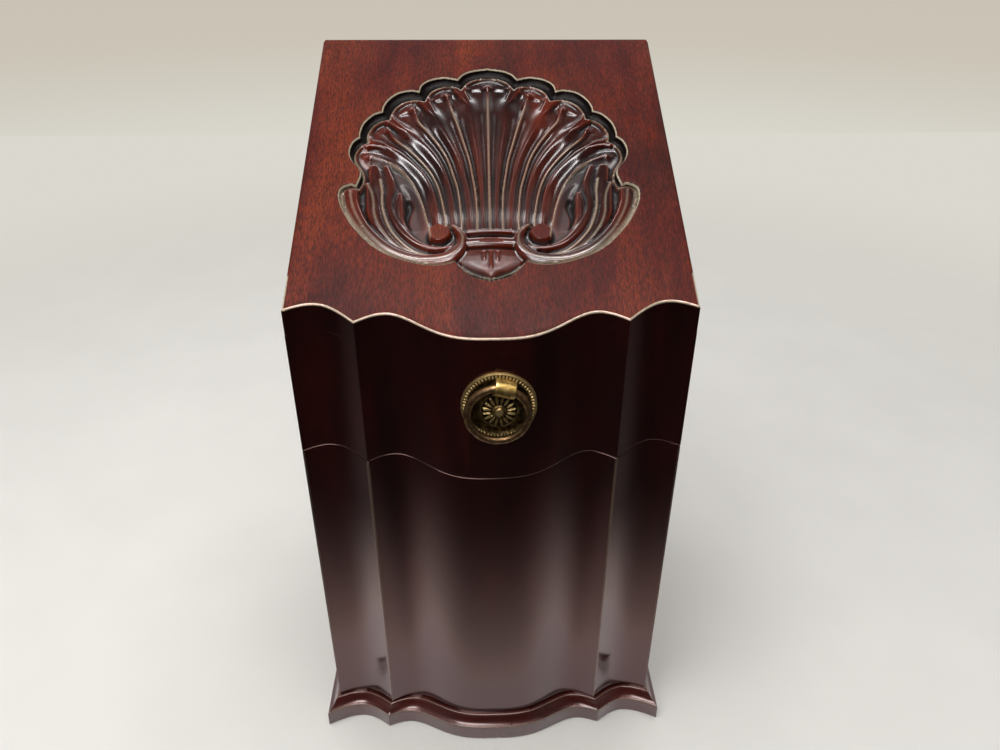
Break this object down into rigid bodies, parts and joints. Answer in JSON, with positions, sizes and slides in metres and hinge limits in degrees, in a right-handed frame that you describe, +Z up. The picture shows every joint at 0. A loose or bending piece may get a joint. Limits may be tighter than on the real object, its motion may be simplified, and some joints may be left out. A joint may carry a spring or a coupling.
{
  "type": "knife box",
  "caption": "Upright serpentine-fronted mahogany knife box with a sloping hinged lid, a sunk shell carving, a ring pull, a plinth and a slotted cutlery rack inside.",
  "frame": {"origin": "middle of the whole footprint, on the floor that the plinth stands on", "axes": "front faces -Y, +X to the viewer's right, +Z up"},
  "size_m": [0.2194, 0.221, 0.3993],
  "materials": {
    "mahogany": "dark red French-polished mahogany",
    "pine": "bare aged pine",
    "boxwood": "polished boxwood line",
    "baize": "worn green baize",
    "hinge_brass": "dull aged brass",
    "pull_bronze": "dark patinated brass with rubbed high points",
    "strap_brass": "rubbed brass"
  },
  "bodies": {
    "carcass": {"front_panel": "mahogany", "side_panel_left": "mahogany", "side_panel_right": "mahogany", "back_panel": "mahogany", "bottom_board": "pine", "well_lining": "baize", "glue_blocks": "pine", "plinth_front": "mahogany", "plinth_left": "mahogany", "plinth_right": "mahogany", "rack_rail_front": "mahogany", "rack_rails": "mahogany", "rack_slips_knife": "mahogany", "rack_slips_fork": "mahogany", "rack_slips_dessert": "mahogany", "rack_slips_spoon": "mahogany", "slot_stringing": "boxwood", "rack_ledge_left": "pine", "rack_ledge_right": "pine", "rack_ledge_back": "pine", "hinge_leaf_body_left": "hinge_brass", "hinge_leaf_body_right": "hinge_brass", "hinge_pin_left": "hinge_brass", "hinge_pin_right": "hinge_brass", "hinge_screws_body": "hinge_brass"},
    "lid": {"lid_top": "mahogany", "lid_front": "mahogany", "lid_side_left": "mahogany", "lid_side_right": "mahogany", "lid_back": "mahogany", "lid_lining": "baize", "hinge_leaf_lid_left": "hinge_brass", "hinge_leaf_lid_right": "hinge_brass", "hinge_screws_lid": "hinge_brass", "pull_plate": "pull_bronze", "pull_strap": "strap_brass"},
    "ring": {"pull_ring": "pull_bronze"}
  },
  "joints": [
    {"name": "lid_hinge", "type": "hinge", "parent": "carcass", "child": "lid", "pos_m": [0, 0.10841, 0.31686], "axis": [-1, 0, 0], "range_deg": [0, 105]},
    {"name": "ring_swing", "type": "hinge", "parent": "lid", "child": "ring", "pos_m": [0.00583, -0.10651, 0.26912], "axis": [-0.9744, 0, 0.225], "range_deg": [0, 170]}
  ]
}
